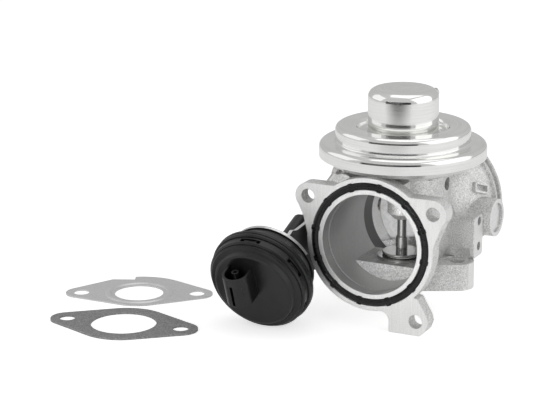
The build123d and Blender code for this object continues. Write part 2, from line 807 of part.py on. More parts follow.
def make_lever_nut():
    """Thin nut on the shaft end."""
    outer = -(lever_face + lever_t)
    place = Plane(origin=(outer - nut_t, shaft_y, shaft_z), x_dir=(0, 1, 0), z_dir=(1, 0, 0))
    nut = extrude(place * RegularPolygon(nut_flat / 2, 6, major_radius=False), amount=nut_t)
    return nut - rod_x(shaft_r, -past_x, 0, shaft_y, shaft_z)


def cap_turned(points):
    """Turned piece of the capsule from (radius, distance behind the front rim)."""
    return cap_place * turned([(r, -w) for r, w in points])


def shroud_plan(inset):
    """D-shaped plan of the hose shroud, across the capsule and forwards."""
    r = shroud_r - inset
    centre = cover_height + shroud_depth
    back = cover_height - 1.0 if inset == 0 else cover_height
    straight = Pos(shroud_x, (centre + back) / 2) * Rectangle(2 * r, centre - back)
    return Pos(shroud_x, centre) * Circle(r) + straight


def upright(sketch, v_from, v_to):
    """Extrude a plan of (across, forwards) up the face of the capsule."""
    place = Plane(origin=(0, v_from, 0), x_dir=(-1, 0, 0), z_dir=(0, 1, 0))
    flipped = mirror(sketch, Plane.YZ)
    return extrude(place * flipped, amount=v_to - v_from, dir=(0, 1, 0))


def make_cover():
    """Black front cover with the D-shaped hose shroud and its nipple."""
    face = cover_height
    shell = turned([
        (0, face), (cover_face_r - 1.6, face), (cover_face_r - 0.5, face - 0.5),
        (cover_face_r, face - 1.6),
        (cover_face_r + 0.6, 0.9), (cover_rim_r - 0.8, 0.6), (cover_rim_r, -0.1),
        (cover_rim_r, -clamp_start + 0.05),
        (skirt_r, -clamp_start + 0.05), (skirt_r, -skirt_end), (skirt_in_r, -skirt_end),
        (skirt_in_r, -0.6), (cover_face_r - 2.0, face - cover_wall), (0, face - cover_wall),
    ])
    shroud = upright(shroud_plan(0), shroud_low, shroud_high)
    hollow = upright(shroud_plan(shroud_wall), shroud_low + shroud_floor, shroud_high + 1)
    front = cover_height + shroud_depth + shroud_r
    slit = Box(slot_width, slot_high - slot_low, 4.0)
    slit = Pos(shroud_x - 0.3, (slot_low + slot_high) / 2, front - 1) * slit
    shell += shroud - hollow - slit
    shell &= Cylinder(2 * cover_rim_r, 2 * (front + 5))
    nip = Pos(shroud_x - 1.2, 0, cover_height + hose_nipple_back) * Rot(-90, 0, 0)
    height = shroud_high - 0.6 - shroud_low
    tube = Pos(0, 0, shroud_low + height / 2) * Cylinder(hose_nipple_r, height)
    shell += nip * tube
    bore_low = shroud_low + shroud_floor + 3
    bore_len = shroud_high + 1 - bore_low
    shell -= nip * Pos(0, 0, bore_low + bore_len / 2) * Cylinder(hose_nipple_bore_r, bore_len)
    for n in range(window_count):
        turn = 90 + 360.0 / window_count * n
        tab = Rot(0, 0, turn) * Pos(skirt_r, 0, -(window_front + window_rear) / 2) * Box(2.4, 7.4, 1.7)
        shell += tab
    return cap_place * shell


def window_cut():
    """Six windows in the clamp ring."""
    cuts = []
    depth = window_rear - window_front
    for n in range(window_count):
        start = 90 + 360.0 / window_count * n - window_arc / 2
        r = clamp_r + 3
        a = math.radians(start)
        b = math.radians(start + window_arc)
        wedge = Polygon((0, 0), (r * math.cos(a), r * math.sin(a)),
                        (r * math.cos(b), r * math.sin(b)), align=None)
        cuts.append(Pos(0, 0, -window_rear) * extrude(wedge, amount=depth, dir=(0, 0, 1)))
    return Part() + cuts


def make_clamp_ring():
    """Ring that snaps the front cover on the housing."""
    inner = skirt_r + 0.05
    ring = turned([
        (inner, -clamp_start), (clamp_r - 0.9, -clamp_start), (clamp_r, -clamp_start - 0.9),
        (clamp_r, -clamp_end), (inner, -clamp_end),
    ])
    return cap_place * (ring - window_cut())


def make_housing():
    """Rear housing of the capsule with the long neck that guides the rod."""
    rim = housing_rim_r
    points = [
        (skirt_in_r, skirt_end + 0.6), (skirt_r, skirt_end + 0.6), (rim - 0.8, skirt_end + 0.6),
        (rim, clamp_end + 1.0), (rim, clamp_end + 1.9), (rim - 0.5, clamp_end + 2.1),
        (rim - 0.5, clamp_end + 2.6),
        (rim, clamp_end + 2.8), (rim, housing_rim_end - 0.6), (rim - 0.6, housing_rim_end),
        (drum_front_r, housing_rim_end), (drum_rear_r + 0.8, drum_end - 1.2), (drum_rear_r, drum_end),
        (neck_tube_r + 1.5, drum_end), (neck_tube_r, drum_end + 1.5), (neck_tube_r, neck_tube_end),
        (neck_tube_in_r, neck_tube_end), (neck_tube_in_r, drum_end - housing_wall),
        (drum_rear_r - housing_wall, drum_end - housing_wall),
        (drum_front_r - housing_wall - 1.6, housing_rim_end - 1),
    ]
    shape = turned([(r, -w) for r, w in points])
    for n in range(3):
        place = Rot(0, 0, 90 + 120 * n) * Pos(cap_screw_circle, 0, 0)
        boss_len = drum_end - 1 - cap_boss_front
        boss_mid = -(cap_boss_front + drum_end - 1) / 2
        shape += place * Pos(0, 0, boss_mid) * Cylinder(cap_screw_boss_r, boss_len)
        hole_front = cap_boss_front + 1
        hole_mid = -(hole_front + drum_end + 1) / 2
        shape -= place * Pos(0, 0, hole_mid) * Cylinder(cap_screw_r, drum_end + 1 - hole_front)
    return cap_place * shape


def make_cap_screws():
    """Screws from the bracket plate into the housing."""
    seat = drum_end + sheet
    screws = []
    for n in range(3):
        place = Rot(0, 0, 90 + 120 * n) * Pos(cap_screw_circle, 0, 0)
        tip = cap_boss_front + 1.3
        shank = Pos(0, 0, -(seat + 0.2 + tip) / 2) * Cylinder(cap_screw_r - 0.01, seat + 0.2 - tip)
        head = Pos(0, 0, -(seat + 0.8)) * Cylinder(cap_screw_head_r, 1.6)
        screws.append(cap_place * (place * (shank + head)))
    return Compound(screws)


def make_rod_bush():
    """Guide bush at the end of the neck."""
    start = neck_tube_end - rod_bush_len
    inner = rod_r + running_gap
    return cap_turned([(inner, start), (neck_tube_in_r, start), (neck_tube_in_r, neck_tube_end),
                       (inner, neck_tube_end)])


def make_cap_diaphragm():
    """Rolling diaphragm between the skirt and the piston."""
    t = skirt_end + 0.6 - skirt_end
    return cap_turned([
        (skirt_r, skirt_end), (skirt_r, skirt_end + t), (skirt_in_r - 0.2, skirt_end + t),
        (piston_r + 2.4, piston_rest - 0.1), (piston_cup_r - 1.0, piston_rest - 0.1),
        (piston_cup_r - 1.0, piston_rest - 0.1 - t), (piston_r + 2.0, piston_rest - 0.1 - t),
        (skirt_in_r - 0.6, skirt_end),
    ])


def make_piston():
    """Piston cup that the diaphragm lies on."""
    floor = piston_rest + piston_cup_depth
    return cap_turned([
        (1.6, floor - piston_wall), (1.6, floor), (piston_cup_r, floor),
        (piston_cup_r, piston_rest + piston_wall),
        (piston_r, piston_rest + piston_wall), (piston_r, piston_rest),
        (piston_cup_r - piston_wall, piston_rest),
        (piston_cup_r - piston_wall, floor - piston_wall),
    ])


def make_cap_spring():
    """Return spring between the front cover and the piston."""
    front = -(cover_height - cover_wall)
    rear = piston_rest + piston_cup_depth - piston_wall
    length = rear - front - 0.1
    spring = Pos(0, 0, -(rear - 0.05)) * coil(cap_spring_r, cap_spring_wire, length, cap_spring_turns)
    return cap_place * spring


def make_rod():
    """Pull rod with its riveted head and the slotted end that drives the lever pin."""
    floor = piston_rest + piston_cup_depth
    start = pin_rest_along - rod_end_half
    shank = turned([
        (0, -(floor - piston_wall - 1.0)), (3.2, -(floor - piston_wall - 0.8)),
        (3.2, -(floor - piston_wall)),
        (1.59, -(floor - piston_wall)), (1.59, -floor), (rod_r, -floor), (rod_r, -(start + 1)),
        (0, -(start + 1)),
    ])
    slot_mid = (lever_arm + pin_rest_above) / 2 - rod_above
    slot_high_half = (lever_arm - pin_rest_above) / 2 + pin_r + slot_gap
    slot_side_half = pin_r + slot_gap
    low = slot_mid - slot_high_half - 2.4
    high = rod_r + 1.2
    tongue = Box(rod_end_t, high - low, 2 * rod_end_half)
    tongue = fillet(tongue.edges().filter_by(Axis.X), 2.0)
    tongue = Pos(0, (high + low) / 2, -pin_rest_along) * tongue
    window = Box(rod_end_t + 2, 2 * slot_high_half, 2 * slot_side_half)
    window = fillet(window.edges().filter_by(Axis.X), slot_side_half - 0.05)
    tongue -= Pos(0, slot_mid, -pin_rest_along) * window
    return cap_place * (shank + tongue)


def make_bracket():
    """Sheet bracket: a disc behind the capsule and an arm back to the body."""
    disc = Cylinder(bracket_disc_r, sheet) - Cylinder(bracket_hole_r, 3 * sheet)
    for n in range(3):
        hole = Pos(cap_screw_circle, 0, 0) * Cylinder(cap_screw_r + 0.1, 3 * sheet)
        disc -= Rot(0, 0, 90 + 120 * n) * hole
    disc = cap_place * Pos(0, 0, -(drum_end + sheet / 2)) * disc
    front_y = cap_front_y + drum_end * cos_p
    front_z = cap_front_z + drum_end * sin_p
    top_v = 21.0
    low_v = -4.0
    arm = Polygon(
        (front_y - top_v * sin_p, front_z + top_v * cos_p), *arm_top,
        (block_rear, arm_end_high), (block_rear, arm_end_low), *arm_low,
        (front_y - low_v * sin_p, front_z + low_v * cos_p), align=None,
    )
    arm = fillet(arm.vertices().sort_by_distance((*arm_top[1], 0))[0], 8.0)
    place = Plane(origin=(-pad_end - sheet, 0, 0), x_dir=(0, 1, 0), z_dir=(1, 0, 0))
    arm = extrude(place * arm, amount=sheet, dir=(1, 0, 0))
    for y, z in (tap_upper, tap_lower):
        arm -= rod_x(bolt_thread_r + 0.2, -pad_end - sheet - 1, -pad_end + 1, y, z)
    return disc + arm


def make_bracket_bolts():
    """Two M6 bolts that hold the bracket arm to the body."""
    seat = -pad_end - sheet
    bolts = []
    for y, z in (tap_upper, tap_lower):
        place = Plane(origin=(seat - bolt_head_t, y, z), x_dir=(0, 1, 0), z_dir=(1, 0, 0))
        head = extrude(place * RegularPolygon(bolt_head_r, 6), amount=bolt_head_t - 0.8)
        head += rod_x(bolt_head_r + 0.6, seat - 0.9, seat, y, z)
        shank = rod_x(bolt_thread_r - 0.02, seat - 1, -pad_end + bolt_len - 1, y, z)
        bolts.append(head + shank)
    return Compound(bolts)


def gasket_frame(holes):
    """Centre and direction of a gasket from its two bolt holes."""
    (ax, ay), (bx, by) = holes
    turn = math.degrees(math.atan2(by - ay, bx - ax))
    half = math.hypot(bx - ax, by - ay) / 2
    return Pos((ax + bx) / 2, (ay + by) / 2, floor_z) * Rot(0, 0, turn), half


def make_fibre_gasket():
    """Flat fibre gasket."""
    place, half = gasket_frame(fibre_holes)
    plate = hull_plate([(-half, 0, fibre_end_r), (half, 0, fibre_end_r), (0, 0, fibre_centre_r)],
                       0, fibre_t)
    for x in (-half, half):
        plate -= Pos(x, 0, 0) * Cylinder(fibre_hole_r, 5)
    plate -= Cylinder(fibre_bore_r, 5)
    return place * plate


def make_steel_gasket():
    """Embossed steel gasket."""
    place, half = gasket_frame(steel_holes)
    ends = [(-half, 0, steel_end_r), (half, 0, steel_end_r)]
    reach = half + 2 * steel_end_r
    plate = hull_plate(ends + [(0, 0, steel_centre_r)], 0, steel_t)
    rear = hull_plate(ends + [(0, 0, steel_rear_r)], 0, steel_t)
    low_side = block(-reach, reach, 0, steel_left_flat, -1, steel_t + 1)
    high_side = block(steel_notch_x, reach, steel_left_flat - 1, steel_rear_flat, -1, steel_t + 1)
    plate += rear & (low_side + high_side)
    for x in (-half, half):
        plate -= Pos(x, 0, 0) * Cylinder(steel_hole_r, 5)
    plate -= Cylinder(steel_bore_r, 5)
    bead = turned([(steel_bead_r - 2.2, steel_t - 0.1), (steel_bead_r + 2.2, steel_t - 0.1),
                   (steel_bead_r + 0.9, steel_t + steel_bead_rise),
                   (steel_bead_r - 0.9, steel_t + steel_bead_rise)])
    return place * (plate + bead)


os.makedirs("parts", exist_ok=True)
save("body", make_body())
save("manifold_seal", make_manifold_seal())
save("seat_ring", make_seat_ring())
save("poppet_valve", make_poppet())
save("stem_bush", make_stem_bush())
save("stem_seal", make_stem_seal())
save("can_upper", make_can_upper())
save("can_lower", make_can_lower())
save("can_screws", make_can_screws())
save("can_diaphragm", make_diaphragm())
save("diaphragm_plates", make_plates())
save("stem_nut", make_stem_nut())
save("can_spring", make_can_spring())
save("can_nipple", make_can_nipple())
save("throttle_shaft", make_shaft())
save("throttle_flap", make_flap())
save("flap_screws", make_flap_screws())
save("shaft_bushes", make_shaft_bushes())
save("shaft_seal", make_shaft_seal())
save("shaft_plug", make_shaft_plug())
save("lever_washer", make_lever_washer())
save("throttle_lever", make_lever())
save("lever_nut", make_lever_nut())
save("capsule_cover", make_cover())
save("clamp_ring", make_clamp_ring())
save("capsule_housing", make_housing())
save("capsule_screws", make_cap_screws())
save("rod_bush", make_rod_bush())
save("capsule_diaphragm", make_cap_diaphragm())
save("capsule_piston", make_piston())
save("capsule_spring", make_cap_spring())
save("pull_rod", make_rod())
save("bracket", make_bracket())
save("bracket_bolts", make_bracket_bolts())
save("fibre_gasket", make_fibre_gasket())
save("steel_gasket", make_steel_gasket())
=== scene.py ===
import math

import bmesh
import bpy
from mathutils import Matrix, Vector

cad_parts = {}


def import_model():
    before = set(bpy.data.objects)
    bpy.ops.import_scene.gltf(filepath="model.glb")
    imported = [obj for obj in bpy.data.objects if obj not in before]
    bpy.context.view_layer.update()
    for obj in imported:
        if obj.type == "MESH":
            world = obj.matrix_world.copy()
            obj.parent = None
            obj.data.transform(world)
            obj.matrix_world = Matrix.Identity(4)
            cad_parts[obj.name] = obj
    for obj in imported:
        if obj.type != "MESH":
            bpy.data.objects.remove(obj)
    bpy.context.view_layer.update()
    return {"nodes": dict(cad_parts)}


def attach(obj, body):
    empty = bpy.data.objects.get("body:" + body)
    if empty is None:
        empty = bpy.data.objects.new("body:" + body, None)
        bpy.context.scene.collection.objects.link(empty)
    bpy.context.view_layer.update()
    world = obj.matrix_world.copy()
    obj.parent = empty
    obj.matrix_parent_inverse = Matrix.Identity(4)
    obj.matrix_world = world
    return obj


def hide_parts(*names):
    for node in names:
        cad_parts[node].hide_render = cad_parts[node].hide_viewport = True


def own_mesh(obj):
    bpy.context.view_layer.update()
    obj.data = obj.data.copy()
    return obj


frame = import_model()
nodes = frame["nodes"]

MM = 0.001

# Camera of the photograph
CAMERA_PLACE = (498.5, -1106.1, 367.9)
CAMERA_TURN = 26.92
CAMERA_TILT = -15.75
CAMERA_ROLL = -0.29
LENS_MM = 154.7
SENSOR_MM = 36.0
CLIP_NEAR = 0.05
CLIP_FAR = 50.0

# Studio: floor, world, lamps and the cards that the bright metal mirrors, in metres and degrees
FLOOR_HALF = 3.0
FLOOR_LIFT = 0.60
MIRROR_LIFT = 0.22
SIDE_LEVEL = 0.60
BACK_LEVEL = 0.54
SOFT_LEVEL = 0.62
CARD_TURN = 20.0
CARD_DISTANCE = 0.507
CARD_WIDTH = 0.86
CARD_HEIGHT = 0.27
SHADE_START = 0.38
SHADE_NEAR = 0.92
SHADE_FAR = 0.5
SHADE_ABOVE = 0.0002
LAMP_AIM = (0, 0.04, 0)
BORE_AIM = (0, 0.03, 0)
BORE_LAMP_ANGLE = 3.4
BORE_LAMP_BLEND = 0.35
BORE_LAMP_RADIUS = 0.03

# Places repeated from the CAD model, in millimetres and degrees
STEM_Y = 45.1
CAPSULE_PITCH = 20.5
FLOOR_Z = -48.8
MOUTH_STEP = 8.0
THROTTLE_START = 62.3
SEAL_R = 33.3

# Limits just beside faces of the CAD model, so that each takes its face in, in millimetres
FLANGE_FACE = 0.05
BLOCK_FACE_X = 41.9
BASE_FACE_Z = -31.8
STEP_REACH = 0.1
BORE_WALL = 28.9
TAPER_START = 54.8

# Wide nubs over the small ones of the face seal, in millimetres and degrees
NUB_COUNT = 12
NUB_TURN = 10.0
NUB_SIZE = (5.0, 0.9, 3.0)
NUB_Y = -0.1
NUB_EDGE = 0.35

# Painted shade on the mouth's step, the air path's walls and its taper, and painted light on the
# throttle bore, as a share of full white or of the machined tone
STEP_SHADE = 0.35
TAPER_SHADE = 0.16
WALL_SHADE = 0.56
THROTTLE_LIGHT = 1.05

# How far a surface may lean and still count as facing a direction, as a cosine
FACING = 0.9
SHEET_FACING = 0.92

# Edges that turn by more degrees than this stay sharp
SMOOTH_ANGLE = 28.0

# Turned metal: how much a whole turn moves its marks, so that they run round the axis
MARK_TURN = 0.004

# Rays that find the rounded edges of a material
EDGE_SAMPLES = 6


class Paint:
    """One node material, with short calls for the nodes it needs."""

    def __init__(self, name, metallic=0.0, roughness=0.5):
        self.material = bpy.data.materials.new(name)
        self.material.use_nodes = True
        self.tree = self.material.node_tree
        self.shader = self.tree.nodes["Principled BSDF"]
        self.shader.inputs["Metallic"].default_value = metallic
        self.shader.inputs["Roughness"].default_value = roughness
        self.place = self.add("ShaderNodeTexCoord").outputs["Object"]

    def add(self, kind, settings=None, **inputs):
        node = self.tree.nodes.new(kind)
        for key, value in (settings or {}).items():
            setattr(node, key, value)
        for key, value in inputs.items():
            self.plug(node.inputs[key.replace("_", " ")], value)
        return node

    def plug(self, socket, value):
        if isinstance(value, bpy.types.NodeSocket):
            self.tree.links.new(value, socket)
        else:
            socket.default_value = value

    def math(self, operation, a, b=0.0, c=0.0):
        node = self.tree.nodes.new("ShaderNodeMath")
        node.operation = operation
        for socket, value in zip(node.inputs, (a, b, c)):
            self.plug(socket, value)
        return node.outputs[0]

    def noise(self, per_m, detail=2.0, roughness=0.5, place=None):
        node = self.add("ShaderNodeTexNoise", Scale=per_m, Detail=detail, Roughness=roughness)
        self.plug(node.inputs["Vector"], place or self.place)
        return node.outputs["Fac"]

    def ramp(self, value, low, high, start=0.0, end=1.0):
        """Value mapped from low..high to start..end, clamped."""
        node = self.add("ShaderNodeMapRange", Value=value)
        node.inputs["From Min"].default_value = low
        node.inputs["From Max"].default_value = high
        self.plug(node.inputs["To Min"], start)
        self.plug(node.inputs["To Max"], end)
        return node.outputs["Result"]

    def mix(self, factor, a, b):
        node = self.tree.nodes.new("ShaderNodeMix")
        node.data_type = "RGBA"
        self.plug(node.inputs["Factor"], factor)
        self.plug(node.inputs["A"], a)
        self.plug(node.inputs["B"], b)
        return node.outputs["Result"]

    def blend(self, factor, a, b):
        node = self.tree.nodes.new("ShaderNodeMix")
        node.data_type = "FLOAT"
        for key, value in (("Factor", factor), ("A", a), ("B", b)):
            self.plug(node.inputs[key], value)
        return node.outputs["Result"]

    def part(self, vector, axis):
        node = self.add("ShaderNodeSeparateXYZ", Vector=vector)
        return node.outputs[axis]

    def stretch(self, scale):
        node = self.add("ShaderNodeMapping", Vector=self.place, Scale=scale)
        return node.outputs["Vector"]

    def about(self, centre):
        """(radius, angle in turns, height) about an upright line through centre."""
        moved = self.add("ShaderNodeVectorMath", {"operation": "SUBTRACT"})
        self.plug(moved.inputs[0], self.place)
        moved.inputs[1].default_value = [c * MM for c in centre]
        x, y, z = (self.part(moved.outputs[0], k) for k in "XYZ")
        squares = [self.math("MULTIPLY", k, k) for k in (x, y)]
        radius = self.math("SQRT", self.math("ADD", *squares))
        angle = self.math("DIVIDE", self.math("ARCTAN2", y, x), 2 * math.pi)
        return radius, angle, z

    def both(self, a, b):
        """Mask that is on where both masks are."""
        return self.math("MULTIPLY", a, b)

    def bump(self, height, distance, normal=None, strength=1.0):
        node = self.add("ShaderNodeBump", Height=height, Strength=strength, Distance=distance)
        if normal is not None:
            self.plug(node.inputs["Normal"], normal)
        return node.outputs["Normal"]

    def soft_edge(self, radius):
        """Normal of the surface with its edges rounded off."""
        rounded = self.add("ShaderNodeBevel", {"samples": EDGE_SAMPLES}, Radius=radius)
        return rounded.outputs["Normal"]

    def finish(self, color=None, roughness=None, normal=None, metallic=None):
        sockets = {"Base Color": color, "Roughness": roughness,
                   "Normal": normal, "Metallic": metallic}
        for key, value in sockets.items():
            if value is not None:
                self.plug(self.shader.inputs[key], value)
        return self.material


def grey(level, warm=0.0):
    return (level * (1 + warm), level, level * (1 - warm), 1)


def machined_areas(p, x, y, z, facing):
    """Masks of the machined faces and of the step inside the mouth."""
    forward = p.math("LESS_THAN", p.part(facing, "Y"), -FACING)
    front = p.both(p.math("LESS_THAN", y, FLANGE_FACE * MM), forward)
    rightward = p.math("GREATER_THAN", p.part(facing, "X"), FACING)
    side = p.both(p.math("GREATER_THAN", x, BLOCK_FACE_X * MM), rightward)
    downward = p.math("LESS_THAN", p.part(facing, "Z"), -FACING)
    base = p.both(p.math("LESS_THAN", z, BASE_FACE_Z * MM), downward)
    machined = p.math("MAXIMUM", p.math("MAXIMUM", front, side), base)
    step = p.both(p.math("COMPARE", y, MOUTH_STEP * MM, STEP_REACH * MM), forward)
    return machined, step


def bore_areas(p, x, y, z, facing):
    """Masks of the air path's walls, of its taper and all behind, and of the throttle bore."""
    across = p.add("ShaderNodeCombineXYZ", X=x, Z=z).outputs[0]
    outward = p.add("ShaderNodeVectorMath", {"operation": "NORMALIZE"})
    p.plug(outward.inputs[0], across)
    inward = p.add("ShaderNodeVectorMath", {"operation": "DOT_PRODUCT"})
    p.plug(inward.inputs[0], outward.outputs[0])
    p.plug(inward.inputs[1], facing)
    radius = p.add("ShaderNodeVectorMath", {"operation": "LENGTH"})
    p.plug(radius.inputs[0], across)
    wall = p.both(p.math("LESS_THAN", inward.outputs["Value"], -FACING),
                  p.math("LESS_THAN", radius.outputs["Value"], BORE_WALL * MM))
    taper = p.both(p.math("GREATER_THAN", y, TAPER_START * MM), wall)
    throttle = p.both(p.math("GREATER_THAN", y, THROTTLE_START * MM), wall)
    return wall, taper, throttle


def cast_paint():
    """Shot-blasted aluminium casting with machined faces and bores, with painted shade on the
    mouth's step, the bore walls and the taper, and painted light on the throttle bore.
    """
    p = Paint("cast_aluminium", metallic=0.65, roughness=0.5)
    x, y, z = (p.part(p.place, k) for k in "XYZ")
    facing = p.add("ShaderNodeNewGeometry").outputs["Normal"]
    machined, step = machined_areas(p, x, y, z, facing)
    wall, taper, throttle = bore_areas(p, x, y, z, facing)
    grain = p.noise(1500, 2.0, 0.6)
    coarse = p.noise(420, 3.0, 0.6)
    cloud = p.noise(45, 2.0)
    scratch = p.noise(900, 1.0, place=p.stretch((1, 1, 0.06)))
    fine = p.ramp(grain, 0.3, 0.7, 0.80, 0.92)
    fine = p.math("MULTIPLY", fine, p.ramp(scratch, 0.3, 0.7, 0.95, 1.03))
    level = p.ramp(grain, 0.3, 0.7, 0.52, 0.98)
    level = p.math("MULTIPLY", level, p.ramp(coarse, 0.3, 0.7, 0.9, 1.06))
    level = p.math("MULTIPLY", level, p.ramp(cloud, 0.35, 0.65, 0.94, 1.04))
    # Painted shade: the step inside the mouth is set dark, as if unlit.
    level = p.blend(step, level, STEP_SHADE)
    level = p.blend(machined, level, fine)
    # Painted shade: the air path's walls are set darker than the machined faces.
    level = p.blend(wall, level, p.math("MULTIPLY", fine, WALL_SHADE))
    # Painted shade: the taper is set almost black.
    level = p.blend(taper, level, TAPER_SHADE)
    # Painted light: the throttle bore is set a little brighter than the machined faces.
    level = p.blend(throttle, level, p.math("MULTIPLY", fine, THROTTLE_LIGHT))
    blue = p.math("MULTIPLY", level, 0.99)
    tone = p.add("ShaderNodeCombineColor", Red=level, Green=level, Blue=blue)
    rough = p.blend(machined, p.ramp(grain, 0.3, 0.7, 0.62, 0.46), 0.42)
    rough = p.blend(wall, rough, 0.36)
    pitted = p.bump(grain, 0.11 * MM, p.soft_edge(0.5 * MM), strength=0.7)
    pitted = p.bump(coarse, 0.25 * MM, pitted, strength=0.35)
    return p.finish(tone.outputs["Color"], rough, pitted)


def turned_steel(name, centre, level, roughness, rings=2600.0, streak=0.0, relief=0.25,
                 edge=0.25):
    """Bright metal with fine marks running round an upright axis."""
    p = Paint(name, metallic=1.0)
    radius, angle, height = p.about(centre)
    line = p.add("ShaderNodeCombineXYZ", X=radius, Y=p.math("MULTIPLY", angle, MARK_TURN), Z=height)
    mark = p.noise(rings, 1.0, place=line.outputs[0])
    cloud = p.noise(60, 2.0)
    tone = p.ramp(mark, 0.25, 0.75, level * (0.93 - streak), level * (1.04 + streak))
    tone = p.math("MULTIPLY", tone, p.ramp(cloud, 0.3, 0.7, 0.96, 1.02))
    blue = p.math("MULTIPLY", tone, 0.985)
    color = p.add("ShaderNodeCombineColor", Red=tone, Green=tone, Blue=blue)
    rough = p.ramp(mark, 0.3, 0.7, roughness * 0.85, roughness * 1.2)
    bumpy = p.bump(mark, 0.02 * MM, p.soft_edge(edge * MM) if edge else None, strength=relief)
    return p.finish(color.outputs["Color"], rough, bumpy)


def plain_metal(name, level, roughness, warm=0.0, grain=700.0, edge=0.2, metallic=1.0, relief=0.3):
    """Plated or sheet metal with an even fine grain."""
    p = Paint(name, metallic=metallic)
    mark = p.noise(grain, 3.0, 0.6)
    tone = p.mix(p.ramp(mark, 0.3, 0.7), grey(level * 0.86, warm), grey(level * 1.06, warm))
    rough = p.ramp(mark, 0.3, 0.7, roughness * 0.8, roughness * 1.25)
    return p.finish(tone, rough, p.bump(mark, 0.04 * MM, p.soft_edge(edge * MM), strength=relief))


def rubber_paint():
    """Black rubber with a faint bloom."""
    p = Paint("black_rubber", roughness=0.3)
    p.shader.inputs["Specular IOR Level"].default_value = 0.35
    mark = p.noise(900, 3.0, 0.6)
    tone = p.mix(p.ramp(mark, 0.3, 0.7), grey(0.004), grey(0.010))
    return p.finish(tone, p.ramp(mark, 0.3, 0.7, 0.24, 0.36), p.bump(mark, 0.03 * MM, strength=0.2))


def plastic_paint():
    """Glass-filled black plastic with a satin moulded skin."""
    p = Paint("black_plastic", roughness=0.4)
    p.shader.inputs["Specular IOR Level"].default_value = 0.46
    fine = p.noise(1400, 2.0, 0.6)
    flow = p.noise(120, 3.0, 0.6, place=p.stretch((1, 1, 0.35)))
    tone = p.mix(p.ramp(flow, 0.3, 0.7), grey(0.004), grey(0.009))
    rough = p.math("ADD", p.ramp(fine, 0.3, 0.7, -0.05, 0.06), p.ramp(flow, 0.3, 0.7, 0.29, 0.38))
    return p.finish(tone, rough, p.bump(fine, 0.05 * MM, p.soft_edge(0.3 * MM), strength=0.25))


def bracket_paint():
    """Black coated sheet whose sheared edges are bare."""
    p = Paint("black_coated_sheet", roughness=0.45)
    x, y, z = (p.part(p.add("ShaderNodeNewGeometry").outputs["True Normal"], k) for k in "XYZ")
    flat_arm = p.math("GREATER_THAN", p.math("ABSOLUTE", x), SHEET_FACING)
    along = math.cos(math.radians(CAPSULE_PITCH)), math.sin(math.radians(CAPSULE_PITCH))
    facing = p.math("ADD", p.math("MULTIPLY", y, along[0]), p.math("MULTIPLY", z, along[1]))
    flat_disc = p.math("GREATER_THAN", p.math("ABSOLUTE", facing), SHEET_FACING)
    bare = p.math("SUBTRACT", 1.0, p.math("MAXIMUM", flat_arm, flat_disc))
    mark = p.noise(800, 3.0, 0.6)
    black = p.mix(p.ramp(mark, 0.3, 0.7), grey(0.018), grey(0.03))
    bright = p.mix(p.ramp(mark, 0.3, 0.7), grey(0.6), grey(0.85))
    return p.finish(p.mix(bare, black, bright), p.blend(bare, 0.42, 0.35),
                    p.bump(mark, 0.05 * MM, strength=0.3), metallic=bare)


def fibre_paint():
    """Graphite-faced fibre sheet, mottled."""
    p = Paint("graphite_fibre", roughness=0.7)
    mark = p.noise(1100, 3.0, 0.7)
    patch = p.noise(160, 3.0, 0.6)
    tone = p.mix(p.ramp(mark, 0.3, 0.7), grey(0.15), grey(0.44))
    tone = p.mix(p.ramp(patch, 0.3, 0.7, 0.0, 0.25), tone, grey(0.24))
    rough = p.ramp(mark, 0.3, 0.7, 0.75, 0.55)
    return p.finish(tone, rough, p.bump(mark, 0.08 * MM, strength=0.5), metallic=0.2)


def use(material, *names):
    """Give one material to whole CAD nodes."""
    for name in names:
        mesh = nodes[name].data
        mesh.materials.clear()
        mesh.materials.append(material)


RUBBER = rubber_paint()


def mesh_piece(name, bm, material, body):
    """Turn a bmesh, in metres, into a piece that rides on a body."""
    mesh = bpy.data.meshes.new(name)
    bm.to_mesh(mesh)
    bm.free()
    mesh.materials.append(material)
    piece = bpy.data.objects.new(name, mesh)
    bpy.context.scene.collection.objects.link(piece)
    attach(piece, body)


def seal_nubs():
    """Wide nubs of the face seal, lapping over both edges of its groove."""
    bm = bmesh.new()
    size = Matrix.Diagonal((*[v * MM for v in NUB_SIZE], 1))
    for n in range(NUB_COUNT):
        turn = Matrix.Rotation(math.radians(NUB_TURN + 360.0 / NUB_COUNT * n), 4, "Y")
        out = Matrix.Translation((SEAL_R * MM, NUB_Y * MM, 0))
        bmesh.ops.create_cube(bm, matrix=turn @ out @ size)
    bmesh.ops.bevel(bm, geom=bm.edges, offset=NUB_EDGE * MM, segments=2, affect="EDGES")
    for face in bm.faces:
        face.smooth = True
    mesh_piece("seal_nubs", bm, RUBBER, "housing")


def coil_spring(name):
    """A spring's piece: a copy of the spring's mesh that rides on the housing, in place of the
    hidden CAD node.
    """
    mesh = nodes[name].data.copy()
    piece = bpy.data.objects.new(name + "_coil", mesh)
    bpy.context.scene.collection.objects.link(piece)
    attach(piece, "housing")
    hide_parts(name)
    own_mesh(piece)


